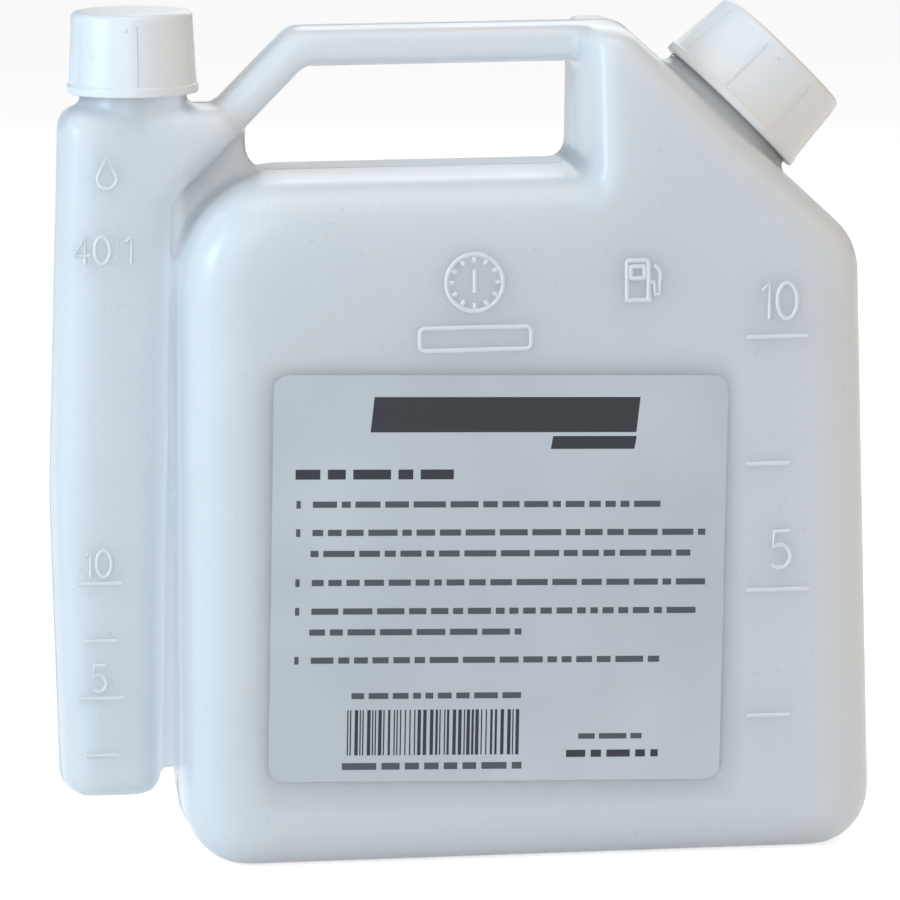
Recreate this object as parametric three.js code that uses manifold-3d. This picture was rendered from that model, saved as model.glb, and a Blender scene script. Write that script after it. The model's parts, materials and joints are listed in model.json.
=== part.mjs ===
// Fuel mixing bottle in millimetres, +Z up, with the origin at the middle of its base.
// The petrol tank is on the +X side, the oil chamber on the -X side, and the front looks along -Y.
// The bottle is one blown piece: two chambers joined by a hollow handle and a thin pinched web.
// Its halves mirror each other in the parting plane y = 0.

import * as THREE from 'three';
import { mergeVertices } from 'three/addons/utils/BufferGeometryUtils.js';
import Module from 'manifold-3d';

const wasm = await Module();
wasm.setup();

// Fineness of the round stretches
const CORNER_STEPS = 6;
const FILLET_STEPS = 5;
const ROUND_STEPS = 48;

// Blown wall and the clearances between separate pieces
const WALL = 1.5;
const FIT_GAP = 0.3;
const DRAFT = 0.5;
const SMALLEST_RADIUS = 0.4;

// Petrol tank: side edges lean in a little towards the top
const TANK_LEFT_BASE = -66.5;
const TANK_LEFT_TOP = -65.0;
const TANK_RIGHT_BASE = 95.8;
const TANK_RIGHT_TOP = 92.9;
const TANK_TOP = 160.4;
const TANK_HALF_DEPTH = 30;
const TANK_FILLET = 10;
const TANK_BASE_RADIUS = 14;
const TANK_LEFT_RADIUS = 24.5;

// Tower beside the handle hole, as high as the handle, and the shoulder that slants down from it
const HANDLE_TOP = 193.8;
const TOWER_TOP = HANDLE_TOP;
const TOWER_LEFT = 28.9;
const TOWER_TOP_HALF_DEPTH = 24;
const TOWER_CORNER_RADIUS = 8;
const HOLE_CORNER_RADIUS = 3;
const SHOULDER_ANGLE = THREE.MathUtils.degToRad(43);
const SHOULDER_DROP = 28.8;
const SHOULDER_POINT = { x: 69.6, z: TOWER_TOP - SHOULDER_DROP };
const SHOULDER_RADIUS = 16;

// Where the lean of the faces is folded, as shares of the height over which it sets in
const LEAN_FOLD_SHARES = [0, 0.5, 0.85];

// In-plane width of the edge rounding, as a share of its depth
const SIDE_SPREAD = 1.2;
const TOP_SPREAD = 1.0;
const TOWER_SIDE_SPREAD = 0.5;
const TOWER_TOP_SPREAD = 0.45;

// Oil chamber
const OIL_LEFT_BASE = -93.9;
const OIL_LEFT_MIDDLE = -95.3;
const OIL_LEFT_TOP = -91.7;
const OIL_MIDDLE_HEIGHT = 85;
const OIL_BULGE_RADIUS = 300;
const OIL_RIGHT_BASE = -70.4;
const OIL_RIGHT_TOP = -66.3;
const OIL_BASE = 14.2;
const OIL_TOP = 176.3;
const OIL_SLANT_START = 153.3;
const OIL_HALF_DEPTH = 14;
const OIL_FILLET = 6.5;
const OIL_CORNER_RADIUS = 6;
const OIL_SHOULDER_RADIUS = 5;
const OIL_KINK_RADIUS = 3;

// Handle: a bar with a leg that runs down at 45 degrees into the oil chamber
const HANDLE_THICKNESS = 9.3;
const HANDLE_HALF_DEPTH = 9;
const HANDLE_FILLET = 3.6;
const HANDLE_BEND = -38.2;
const HANDLE_OUTER_RADIUS = 6;
const HANDLE_INNER_RADIUS = 3;
const HANDLE_ROOT_DEPTH = 14;
const HANDLE_END_DEPTH = 6;
const LEG_ANGLE = Math.PI / 4;

// Pinched web in the parting plane
const WEB_HALF_THICKNESS = 1.5;
const WEB_BASE = 19.6;
const WEB_EDGE = -48.6;
const WEB_EDGE_RADIUS = 6;
const WEB_OVERLAP = 5;

// Screw finishes: the neck, its cap and the sealing disc inside the cap
const PETROL_FINISH = {
  collarRadius: 18.3,
  threadCoreRadius: 16.2,
  boreRadius: 14.3,
  capRimRadius: 20.0,
  capTopRadius: 18.2,
  capWall: 1.6,
  capHeight: 18.6,
  rimOffset: 2.6,
  ribs: 8,
};
const OIL_FINISH = {
  collarRadius: 12.3,
  threadCoreRadius: 12.0,
  boreRadius: 10.2,
  capRimRadius: 15.25,
  capTopRadius: 14.1,
  capWall: 1.5,
  capHeight: 18.9,
  rimOffset: 2.8,
  ribs: 6,
};
const PETROL_NECK_TILT = Math.PI / 4;
const PETROL_RIM_RISE = 7.6;
const PETROL_RIM_CENTRE = { x: 65.4, z: SHOULDER_POINT.z + PETROL_RIM_RISE };
const OIL_NECK_X = -74.3;
const NECK_ROOT = 6;
const LIP_CHAMFER = 0.6;
const CAP_BEAD_HEIGHT = 2.2;
const CAP_BEAD_STEP = 0.45;
const CAP_EDGE_RADIUS = 1.6;
const CAP_RIB_WIDTH = 1.0;
const CAP_RIB_HEIGHT = 0.35;
const LINER_THICKNESS = 1.2;
const LINER_RIM_GAP = 0.4;

// Label, and the panel in the front face that is sunk around it
const LABEL_WIDTH = 105.6;
const LABEL_HEIGHT = 95.2;
const LABEL_CENTRE = { x: 6.4, z: 67.3 };
const LABEL_TURN = THREE.MathUtils.degToRad(-1.5);
const LABEL_RADIUS = 3.5;
const LABEL_THICKNESS = 0.15;
const PANEL_MARGINS = { leftTop: 1.8, leftBase: 2.9, rightTop: 4.7, rightBase: 6.0, top: 3.7, base: 5.1 };
const PANEL_LEFT_TOP = LABEL_CENTRE.x - LABEL_WIDTH / 2 - PANEL_MARGINS.leftTop;
const PANEL_LEFT_BASE = LABEL_CENTRE.x - LABEL_WIDTH / 2 - PANEL_MARGINS.leftBase;
const PANEL_RIGHT_TOP = LABEL_CENTRE.x + LABEL_WIDTH / 2 + PANEL_MARGINS.rightTop;
const PANEL_RIGHT_BASE = LABEL_CENTRE.x + LABEL_WIDTH / 2 + PANEL_MARGINS.rightBase;
const PANEL_TOP = LABEL_CENTRE.z + LABEL_HEIGHT / 2 + PANEL_MARGINS.top;
const PANEL_BASE = LABEL_CENTRE.z - LABEL_HEIGHT / 2 - PANEL_MARGINS.base;
const PANEL_DEPTH = 0.8;
const PANEL_SLOPE = 0.9;
const PANEL_RIGHT_SLOPE = 2.8;
const PANEL_RADIUS = 5;

// Raised level marks on the fronts of both chambers
const MARK_HEIGHT = 0.9;
const MARK_PROUD = 0.5;
const MARK_ROOT = 0.6;
const PETROL_MARK_LEFT = 64.3;
const PETROL_MARK_LONG = 14.7;
const PETROL_MARK_SHORT = 10.3;
const PETROL_MARK_TOP = 122.3;
const PETROL_MARK_PITCH = 29.7;
const OIL_MARK_MIDDLE = -84.9;
const OIL_MARK_LONG = 10.6;
const OIL_MARK_SHORT = 7.8;
const OIL_MARK_TOP = 66.2;
const OIL_MARK_PITCH = 13.55;
const MARK_COUNT = 4;

const BLOWN_PLASTIC = { color: 0xdfe6ea, roughness: 0.42, metalness: 0 };
const CAP_PLASTIC = { color: 0xe9edee, roughness: 0.38, metalness: 0 };
const LINER_FOAM = { color: 0xf2f2ee, roughness: 0.8, metalness: 0 };
const LABEL_FILM = { color: 0xc6ccd2, roughness: 0.35, metalness: 0 };

// Booleans

function toSolid(geometry) {
  const bare = geometry.clone();
  bare.deleteAttribute('normal');
  bare.deleteAttribute('uv');
  const merged = mergeVertices(bare, 1e-5);
  return new wasm.Manifold(new wasm.Mesh({
    numProp: 3,
    vertProperties: new Float32Array(merged.attributes.position.array),
    triVerts: new Uint32Array(merged.index.array),
  }));
}

function toGeometry(solid) {
  const mesh = solid.getMesh();
  const geometry = new THREE.BufferGeometry();
  geometry.setAttribute('position', new THREE.BufferAttribute(mesh.vertProperties, 3));
  geometry.setIndex(new THREE.BufferAttribute(mesh.triVerts, 1));
  geometry.computeVertexNormals();
  return geometry;
}

function unite(solids) {
  return solids.reduce((whole, solid) => whole.add(solid));
}

// Outlines in the XZ plane, anticlockwise when seen from the front

function lineCrossing(pointA, directionA, pointB, directionB) {
  const cross = directionA.x * directionB.y - directionA.y * directionB.x;
  const gap = pointB.clone().sub(pointA);
  const along = (gap.x * directionB.y - gap.y * directionB.x) / cross;
  return pointA.clone().addScaledVector(directionA, along);
}

// Each corner is { x, z, radius, spread, spreadEnd, flat }. The edge that leaves a corner moves
// inwards by inset times its spread, which may change along it, and the radius follows.
// An edge that is marked flat leaves out the part of the inset that is draft.
function roundedOutline(corners, inset, draft = 0) {
  const points = [];
  const starts = [];
  const count = corners.length;
  const at = (i) => corners[(i + count) % count];
  const place = (i) => new THREE.Vector2(at(i).x, at(i).z);
  const inward = (i) => {
    const heading = place(i + 1).sub(place(i)).normalize();
    return new THREE.Vector2(-heading.y, heading.x);
  };
  const insetOf = (i) => (at(i).flat ? inset - draft : inset);
  const startShift = (i) => insetOf(i) * (at(i).spread ?? 1);
  const endShift = (i) => insetOf(i) * (at(i).spreadEnd ?? at(i).spread ?? 1);
  const edgeStart = (i) => place(i).addScaledVector(inward(i), startShift(i));
  const edgeEnd = (i) => place(i + 1).addScaledVector(inward(i), endShift(i));
  const heading = (i) => edgeEnd(i).sub(edgeStart(i)).normalize();
  for (let i = 0; i < count; i += 1) {
    const before = heading(i - 1);
    const after = heading(i);
    const turn = Math.asin(THREE.MathUtils.clamp(before.cross(after), -1, 1));
    const bend = before.dot(after) < 0 ? Math.sign(turn) * Math.PI - turn : turn;
    starts.push(points.length);
    if (Math.abs(bend) < 1e-3) {
      points.push(edgeStart(i));
      continue;
    }
    const apex = lineCrossing(edgeStart(i - 1), before, edgeStart(i), after);
    const follow = (endShift(i - 1) + startShift(i)) / 2;
    const radius = Math.max(at(i).radius - Math.sign(bend) * follow, SMALLEST_RADIUS);
    const reach = radius * Math.tan(Math.abs(bend) / 2);
    const start = apex.clone().addScaledVector(before, -reach);
    const side = new THREE.Vector2(-before.y, before.x).multiplyScalar(Math.sign(bend) * radius);
    const centre = start.clone().add(side);
    for (let step = 0; step <= CORNER_STEPS; step += 1) {
      points.push(start.clone().rotateAround(centre, (bend * step) / CORNER_STEPS));
    }
  }
  return { points, starts };
}

// Cuts a face outline along the given chords, so that a face that bends keeps its folds.
function faceTriangles(points, chords) {
  const pieces = [];
  let rest = points.map((_, index) => index);
  for (const [from, to] of chords) {
    const a = rest.indexOf(from);
    const b = rest.indexOf(to);
    pieces.push(rest.slice(a, b + 1));
    rest = [...rest.slice(0, a + 1), ...rest.slice(b)];
  }
  pieces.push(rest);
  return pieces.flatMap((piece) => {
    const faces = THREE.ShapeUtils.triangulateShape(piece.map((index) => points[index]), []);
    return faces.map((face) => face.map((corner) => piece[corner]));
  });
}

// A slab between two moulded halves: its outline stands in XZ, its edges are rounded towards
// the front and back faces, and its half depth may change with height.
function mouldedSlab({ corners, halfDepth, fillet, draft = DRAFT, findChords }, wall = 0) {
  const depthAt = (z) => (typeof halfDepth === 'function' ? halfDepth(z) : halfDepth) - wall;
  const rounding = Math.max(fillet - wall, SMALLEST_RADIUS);
  const rings = [{ inset: wall, draft: 0, share: null }];
  for (let step = 0; step <= FILLET_STEPS; step += 1) {
    const angle = (Math.PI / 2) * (step / FILLET_STEPS);
    const spread = rounding * (1 - Math.cos(angle));
    rings.push({ inset: wall + draft + spread, draft, share: 1 - Math.sin(angle) });
  }
  const outlines = rings.map((ring) => roundedOutline(corners, ring.inset, ring.draft));
  const size = outlines[0].points.length;
  const positions = [];
  const addRing = (index, sign) => {
    for (const point of outlines[index].points) {
      const share = rings[index].share;
      const depth = share === null ? 0 : depthAt(point.y) - rounding * share;
      positions.push(point.x, sign * depth, point.y);
    }
  };
  for (let index = rings.length - 1; index >= 0; index -= 1) addRing(index, -1);
  for (let index = 1; index < rings.length; index += 1) addRing(index, 1);
  const ringCount = positions.length / 3 / size;
  const triangles = [];
  for (let ring = 0; ring < ringCount - 1; ring += 1) {
    for (let k = 0; k < size; k += 1) {
      const next = (k + 1) % size;
      const a = ring * size + k;
      const b = (ring + 1) * size + k;
      const c = (ring + 1) * size + next;
      const d = ring * size + next;
      triangles.push(a, b, c, a, c, d);
    }
  }
  const face = outlines[outlines.length - 1];
  const chords = findChords ? findChords(face) : [];
  const last = (ringCount - 1) * size;
  for (const [a, b, c] of faceTriangles(face.points, chords)) {
    triangles.push(a, b, c, last + a, last + c, last + b);
  }
  const geometry = new THREE.BufferGeometry();
  geometry.setAttribute('position', new THREE.Float32BufferAttribute(positions, 3));
  geometry.setIndex(triangles);
  return toSolid(geometry);
}

// Petrol tank with its tower and slanting shoulder

function shoulderHeight(x) {
  return SHOULDER_POINT.z - (x - SHOULDER_POINT.x) * Math.tan(SHOULDER_ANGLE);
}

function shoulderX(z) {
  return SHOULDER_POINT.x - (z - SHOULDER_POINT.z) / Math.tan(SHOULDER_ANGLE);
}

// The front and back faces lean together above the height of the hole's corner rounding.
const FACE_INSET = DRAFT + TANK_FILLET;
const LEAN_START = TANK_TOP - FACE_INSET * TOP_SPREAD;
const LEAN_BLEND = HOLE_CORNER_RADIUS + (FACE_INSET * (TOP_SPREAD + TOWER_SIDE_SPREAD)) / 2;

function tankHalfDepth(z) {
  const slope = (TANK_HALF_DEPTH - TOWER_TOP_HALF_DEPTH) / (TOWER_TOP - LEAN_START - LEAN_BLEND / 2);
  const rise = Math.max(z - LEAN_START, 0);
  const blended = rise < LEAN_BLEND ? rise ** 2 / (2 * LEAN_BLEND) : rise - LEAN_BLEND / 2;
  return TANK_HALF_DEPTH - slope * blended;
}

function tankSlab() {
  const foldHeights = LEAN_FOLD_SHARES.map((share) => LEAN_START + LEAN_BLEND * share);
  const shoulderZ = shoulderHeight(TANK_RIGHT_TOP);
  const spreadAt = (z) => {
    return THREE.MathUtils.mapLinear(z, shoulderZ, TOWER_TOP, TOP_SPREAD, TOWER_TOP_SPREAD);
  };
  const folds = foldHeights.map((height) => {
    const z = height + FACE_INSET * spreadAt(height) * Math.cos(SHOULDER_ANGLE);
    return { x: shoulderX(z), z, radius: 0, spread: spreadAt(z) };
  });
  const slant = [
    { x: TANK_RIGHT_TOP, z: shoulderZ, radius: SHOULDER_RADIUS, spread: TOP_SPREAD },
    ...folds,
  ];
  slant.forEach((corner, index) => {
    corner.spreadEnd = slant[index + 1]?.spread ?? TOWER_TOP_SPREAD;
  });
  const corners = [
    { x: TANK_LEFT_BASE, z: 0, radius: TANK_BASE_RADIUS, spread: SIDE_SPREAD, flat: true },
    { x: TANK_RIGHT_BASE, z: 0, radius: TANK_BASE_RADIUS, spread: SIDE_SPREAD },
    ...slant,
    { x: shoulderX(TOWER_TOP), z: TOWER_TOP, radius: TOWER_CORNER_RADIUS, spread: TOWER_TOP_SPREAD },
    { x: TOWER_LEFT, z: TOWER_TOP, radius: HOLE_CORNER_RADIUS, spread: TOWER_SIDE_SPREAD },
    { x: TOWER_LEFT, z: TANK_TOP, radius: HOLE_CORNER_RADIUS, spread: TOP_SPREAD },
    { x: TANK_LEFT_TOP, z: TANK_TOP, radius: TANK_LEFT_RADIUS, spread: SIDE_SPREAD },
  ];
  const findChords = ({ points, starts }) => {
    const holeStart = starts[corners.length - 2];
    const cornerPoints = Array.from({ length: CORNER_STEPS + 1 }, (_, k) => holeStart + k);
    const nearest = (z) => cornerPoints.reduce((best, k) => {
      return Math.abs(points[k].y - z) < Math.abs(points[best].y - z) ? k : best;
    });
    return folds.map((fold) => starts[corners.indexOf(fold)])
      .map((start) => [start, nearest(points[start].y)])
      .sort((one, other) => other[0] - one[0]);
  };
  return { corners, halfDepth: tankHalfDepth, fillet: TANK_FILLET, findChords };
}

// Oil chamber, wider at its top where the handle's leg comes in

function oilSlab() {
  const slantRun = OIL_TOP - OIL_SLANT_START;
  return {
    corners: [
      { x: OIL_LEFT_BASE, z: OIL_BASE, radius: OIL_CORNER_RADIUS },
      { x: OIL_RIGHT_BASE, z: OIL_BASE, radius: OIL_CORNER_RADIUS },
      { x: OIL_RIGHT_TOP, z: OIL_SLANT_START, radius: OIL_KINK_RADIUS },
      { x: OIL_RIGHT_TOP + slantRun / Math.tan(LEG_ANGLE), z: OIL_TOP, radius: OIL_SHOULDER_RADIUS },
      { x: OIL_LEFT_TOP, z: OIL_TOP, radius: OIL_SHOULDER_RADIUS },
      { x: OIL_LEFT_MIDDLE, z: OIL_MIDDLE_HEIGHT, radius: OIL_BULGE_RADIUS },
    ],
    halfDepth: OIL_HALF_DEPTH,
    fillet: OIL_FILLET,
  };
}

function handleSlab() {
  const under = HANDLE_TOP - HANDLE_THICKNESS;
  const along = { x: Math.cos(LEG_ANGLE), z: Math.sin(LEG_ANGLE) };
  const legFoot = OIL_TOP - HANDLE_ROOT_DEPTH;
  const outerRun = (HANDLE_TOP - legFoot) / Math.tan(LEG_ANGLE);
  const outerFoot = { x: HANDLE_BEND - outerRun, z: legFoot };
  const innerFoot = {
    x: outerFoot.x + HANDLE_THICKNESS * along.z,
    z: outerFoot.z - HANDLE_THICKNESS * along.x,
  };
  const innerBend = innerFoot.x + (under - innerFoot.z) / Math.tan(LEG_ANGLE);
  const end = TOWER_LEFT + HANDLE_END_DEPTH;
  return {
    corners: [
      { x: innerFoot.x, z: innerFoot.z, radius: HANDLE_INNER_RADIUS },
      { x: innerBend, z: under, radius: HANDLE_INNER_RADIUS },
      { x: end, z: under, radius: WALL },
      { x: end, z: HANDLE_TOP, radius: WALL },
      { x: HANDLE_BEND, z: HANDLE_TOP, radius: HANDLE_OUTER_RADIUS },
      { x: outerFoot.x, z: outerFoot.z, radius: HANDLE_INNER_RADIUS },
    ],
    halfDepth: HANDLE_HALF_DEPTH,
    fillet: HANDLE_FILLET,
  };
}

// The web lies between the chambers and closes the corner of the hole under the handle's leg.
function webSlab() {
  const hiddenTop = TANK_TOP - FIT_GAP;
  const legRun = WEB_EDGE - OIL_RIGHT_TOP - (OIL_TOP - OIL_SLANT_START);
  const legLine = OIL_TOP + HANDLE_THICKNESS / 2 + legRun * Math.tan(LEG_ANGLE);
  return {
    corners: [
      { x: OIL_RIGHT_BASE - WEB_OVERLAP, z: WEB_BASE, radius: 1 },
      { x: TANK_LEFT_TOP + WEB_OVERLAP, z: WEB_BASE, radius: 1 },
      { x: TANK_LEFT_TOP + WEB_OVERLAP, z: TANK_TOP - TANK_LEFT_RADIUS, radius: 1 },
      { x: TANK_LEFT_TOP + TANK_LEFT_RADIUS, z: hiddenTop - WEB_OVERLAP, radius: 1 },
      { x: TANK_LEFT_TOP + TANK_LEFT_RADIUS, z: hiddenTop, radius: 1 },
      { x: WEB_EDGE, z: hiddenTop, radius: WEB_EDGE_RADIUS },
      { x: WEB_EDGE, z: legLine, radius: 1 },
      { x: OIL_RIGHT_TOP, z: OIL_TOP - WEB_OVERLAP, radius: 1 },
      { x: OIL_RIGHT_BASE - WEB_OVERLAP, z: OIL_SLANT_START, radius: 1 },
    ],
    halfDepth: WEB_HALF_THICKNESS,
    fillet: WEB_HALF_THICKNESS / 3,
    draft: 0,
  };
}

// Necks, lathed about their own axis with the cap's rim plane at zero

function latheSolid(outline) {
  const profile = outline.map(([radius, height]) => new THREE.Vector2(radius, height));
  const geometry = new THREE.LatheGeometry(profile, ROUND_STEPS);
  geometry.rotateX(Math.PI / 2);
  return toSolid(geometry);
}

function lipHeight(finish) {
  return finish.capHeight - finish.capWall - LINER_THICKNESS - 2 * FIT_GAP;
}

function neckSolid(finish) {
  const lip = lipHeight(finish);
  const root = -finish.rimOffset - NECK_ROOT;
  const collarTop = finish.collarRadius > finish.threadCoreRadius ? -FIT_GAP : root / 2;
  return latheSolid([
    [0, root],
    [finish.collarRadius, root],
    [finish.collarRadius, collarTop],
    [finish.threadCoreRadius, collarTop + LIP_CHAMFER],
    [finish.threadCoreRadius, lip - LIP_CHAMFER],
    [finish.threadCoreRadius - LIP_CHAMFER, lip],
    [0, lip],
  ]);
}

function boreSolid(finish) {
  const root = -finish.rimOffset - NECK_ROOT - WALL;
  const above = lipHeight(finish) + NECK_ROOT;
  return latheSolid([[0, root], [finish.boreRadius, root], [finish.boreRadius, above], [0, above]]);
}

function finishPlace(isPetrol) {
  if (isPetrol) {
    const turn = new THREE.Matrix4().makeRotationY(PETROL_NECK_TILT);
    return turn.setPosition(PETROL_RIM_CENTRE.x, 0, PETROL_RIM_CENTRE.z);
  }
  return new THREE.Matrix4().makeTranslation(OIL_NECK_X, 0, OIL_TOP + OIL_FINISH.rimOffset);
}

// Raised marks, from the top one down: long, short, long, short

function levelMark(left, width, z, face) {
  const depth = MARK_PROUD + MARK_ROOT;
  const bar = new THREE.BoxGeometry(width, depth, MARK_HEIGHT);
  bar.translate(left + width / 2, -face - MARK_PROUD + depth / 2, z);
  return toSolid(bar);
}

function levelMarks() {
  const marks = [];
  for (let step = 0; step < MARK_COUNT; step += 1) {
    const long = step % 2 === 0;
    const petrolWidth = long ? PETROL_MARK_LONG : PETROL_MARK_SHORT;
    const oilWidth = long ? OIL_MARK_LONG : OIL_MARK_SHORT;
    const petrolHeight = PETROL_MARK_TOP - step * PETROL_MARK_PITCH;
    const oilHeight = OIL_MARK_TOP - step * OIL_MARK_PITCH;
    marks.push(levelMark(PETROL_MARK_LEFT, petrolWidth, petrolHeight, TANK_HALF_DEPTH));
    marks.push(levelMark(OIL_MARK_MIDDLE - oilWidth / 2, oilWidth, oilHeight, OIL_HALF_DEPTH));
  }
  return marks;
}

// The panel is a shallow tray with sloped sides, sunk into the front face.
// Grown and moved inwards by the wall, the same tray keeps the wall even behind it.
function panelTray(wall) {
  const rightSpread = wall ? 1 : PANEL_RIGHT_SLOPE / PANEL_SLOPE;
  const corners = [
    { x: PANEL_LEFT_BASE, z: PANEL_BASE, radius: PANEL_RADIUS },
    { x: PANEL_RIGHT_BASE, z: PANEL_BASE, radius: PANEL_RADIUS, spread: rightSpread },
    { x: PANEL_RIGHT_TOP, z: PANEL_TOP, radius: PANEL_RADIUS },
    { x: PANEL_LEFT_TOP, z: PANEL_TOP, radius: PANEL_RADIUS },
  ];
  const front = -TANK_HALF_DEPTH + wall;
  const levels = [
    { y: front - PANEL_DEPTH, inset: -PANEL_SLOPE - wall },
    { y: front + PANEL_DEPTH, inset: PANEL_SLOPE - wall },
  ];
  const rings = levels.map(({ inset }) => roundedOutline(corners, inset).points);
  const size = rings[0].length;
  const positions = rings.flatMap((ring, level) => ring.flatMap((p) => [p.x, levels[level].y, p.y]));
  const triangles = [];
  for (let k = 0; k < size; k += 1) {
    const next = (k + 1) % size;
    triangles.push(k, size + k, size + next, k, size + next, next);
  }
  for (const [a, b, c] of faceTriangles(rings[0], [])) {
    triangles.push(a, b, c, size + a, size + c, size + b);
  }
  const geometry = new THREE.BufferGeometry();
  geometry.setAttribute('position', new THREE.Float32BufferAttribute(positions, 3));
  geometry.setIndex(triangles);
  return toSolid(geometry);
}

function bottleGeometry() {
  const petrolPlace = finishPlace(true);
  const oilPlace = finishPlace(false);
  const placed = (solid, matrix) => solid.transform(matrix.elements);
  const blown = [tankSlab(), oilSlab(), handleSlab()];
  const outside = unite([
    ...blown.map((slab) => mouldedSlab(slab)),
    mouldedSlab(webSlab()),
    placed(neckSolid(PETROL_FINISH), petrolPlace),
    placed(neckSolid(OIL_FINISH), oilPlace),
  ]);
  const hollow = unite(blown.map((slab) => mouldedSlab(slab, WALL))).subtract(panelTray(WALL));
  const cut = unite([
    placed(boreSolid(PETROL_FINISH), petrolPlace),
    placed(boreSolid(OIL_FINISH), oilPlace),
    panelTray(0),
  ]);
  return toGeometry(unite([outside.subtract(hollow), ...levelMarks()]).subtract(cut));
}

// Caps and liners, drawn about their own axis with the rim at zero

function capGeometry(finish) {
  const { capRimRadius: rim, capTopRadius: top, capHeight: height, capWall: wall } = finish;
  const side = rim - CAP_BEAD_STEP;
  const edge = Array.from({ length: CORNER_STEPS + 1 }, (_, step) => {
    const angle = (Math.PI / 2) * (step / CORNER_STEPS);
    const back = CAP_EDGE_RADIUS * (1 - Math.cos(angle));
    return [top - back, height - CAP_EDGE_RADIUS * (1 - Math.sin(angle))];
  });
  const inside = side - wall;
  const insideTop = Math.min(top - wall, inside);
  const body = latheSolid([
    [inside, 0],
    [rim, 0],
    [rim, CAP_BEAD_HEIGHT],
    [side, CAP_BEAD_HEIGHT + CAP_BEAD_STEP],
    ...edge,
    [0, height],
    [0, height - wall],
    [insideTop, height - wall],
    [inside, 0],
  ]);
  const lean = Math.atan2(side - top, height - CAP_BEAD_HEIGHT);
  const ribLength = height - CAP_BEAD_HEIGHT - 2 * CAP_EDGE_RADIUS;
  const ribs = Array.from({ length: finish.ribs }, (_, index) => {
    const rib = new THREE.BoxGeometry(2 * CAP_RIB_HEIGHT, CAP_RIB_WIDTH, ribLength);
    rib.rotateY(-lean);
    rib.translate((side + top) / 2, 0, CAP_BEAD_HEIGHT + CAP_EDGE_RADIUS / 2 + ribLength / 2);
    rib.rotateZ((2 * Math.PI * (index + 0.5)) / finish.ribs);
    return toSolid(rib);
  });
  return toGeometry(unite([body, ...ribs]));
}

function linerGeometry(finish) {
  const radius = finish.capTopRadius - finish.capWall - LINER_RIM_GAP;
  const base = lipHeight(finish) + FIT_GAP;
  const disc = new THREE.CylinderGeometry(radius, radius, LINER_THICKNESS, ROUND_STEPS);
  disc.rotateX(Math.PI / 2);
  disc.translate(0, 0, base + LINER_THICKNESS / 2);
  return disc;
}

function labelGeometry() {
  const corners = [[-1, -1], [1, -1], [1, 1], [-1, 1]].map(([right, up]) => {
    return { x: (right * LABEL_WIDTH) / 2, z: (up * LABEL_HEIGHT) / 2, radius: LABEL_RADIUS };
  });
  const film = new THREE.ExtrudeGeometry(new THREE.Shape(roundedOutline(corners, 0).points), {
    depth: LABEL_THICKNESS,
    bevelEnabled: false,
  });
  film.rotateZ(LABEL_TURN);
  film.rotateX(Math.PI / 2);
  film.translate(LABEL_CENTRE.x, -TANK_HALF_DEPTH + PANEL_DEPTH, LABEL_CENTRE.z);
  return film;
}

function addMesh(parent, name, geometry, finish) {
  const mesh = new THREE.Mesh(geometry, new THREE.MeshStandardMaterial(finish));
  mesh.name = name;
  parent.add(mesh);
}

function closure(isPetrol) {
  const finish = isPetrol ? PETROL_FINISH : OIL_FINISH;
  const name = isPetrol ? 'petrol_cap' : 'oil_cap';
  const group = new THREE.Group();
  group.applyMatrix4(finishPlace(isPetrol));
  addMesh(group, name, capGeometry(finish), CAP_PLASTIC);
  addMesh(group, `${name}_liner`, linerGeometry(finish), LINER_FOAM);
  return group;
}

function mixingBottle() {
  const bottle = new THREE.Group();
  addMesh(bottle, 'bottle_body', bottleGeometry(), BLOWN_PLASTIC);
  addMesh(bottle, 'front_label', labelGeometry(), LABEL_FILM);
  bottle.add(closure(true), closure(false));
  bottle.updateMatrixWorld(true);
  const box = new THREE.Box3().setFromObject(bottle, true);
  const middle = box.getCenter(new THREE.Vector3());
  bottle.position.set(-middle.x, -middle.y, -box.min.z);
  return bottle;
}

export default mixingBottle();
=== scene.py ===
"""Looks of a fuel mixing bottle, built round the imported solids.

The bottle is one blown piece of natural polyethylene with two screw caps and a film label.
All lengths are in metres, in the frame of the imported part: +Z up, -Y out of the front face.
"""

from __future__ import annotations

import json
import logging
import math
import random
from collections.abc import Callable, Iterable, Iterator
from contextlib import contextmanager
from dataclasses import dataclass, field
from enum import Enum
from functools import cache

import bpy
from mathutils import Matrix, Vector

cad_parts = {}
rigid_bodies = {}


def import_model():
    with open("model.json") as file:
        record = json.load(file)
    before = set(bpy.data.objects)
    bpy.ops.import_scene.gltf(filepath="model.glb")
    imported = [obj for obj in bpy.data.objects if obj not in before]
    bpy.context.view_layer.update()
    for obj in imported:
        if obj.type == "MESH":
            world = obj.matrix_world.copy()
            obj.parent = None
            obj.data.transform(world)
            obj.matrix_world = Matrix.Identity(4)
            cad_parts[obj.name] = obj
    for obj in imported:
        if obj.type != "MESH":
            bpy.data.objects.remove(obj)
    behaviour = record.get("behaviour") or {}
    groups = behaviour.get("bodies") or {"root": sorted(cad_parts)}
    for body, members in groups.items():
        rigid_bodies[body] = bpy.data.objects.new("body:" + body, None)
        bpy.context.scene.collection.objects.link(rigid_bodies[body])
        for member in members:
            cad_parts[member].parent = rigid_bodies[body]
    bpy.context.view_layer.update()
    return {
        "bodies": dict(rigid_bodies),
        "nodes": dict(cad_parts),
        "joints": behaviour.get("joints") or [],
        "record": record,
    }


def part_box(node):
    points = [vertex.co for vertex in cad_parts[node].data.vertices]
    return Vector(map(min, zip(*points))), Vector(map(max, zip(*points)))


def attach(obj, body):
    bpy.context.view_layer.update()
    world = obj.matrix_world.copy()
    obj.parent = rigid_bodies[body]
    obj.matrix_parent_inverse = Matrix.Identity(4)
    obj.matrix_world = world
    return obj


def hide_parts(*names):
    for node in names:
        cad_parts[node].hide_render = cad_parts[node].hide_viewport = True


MM = 0.001
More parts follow.
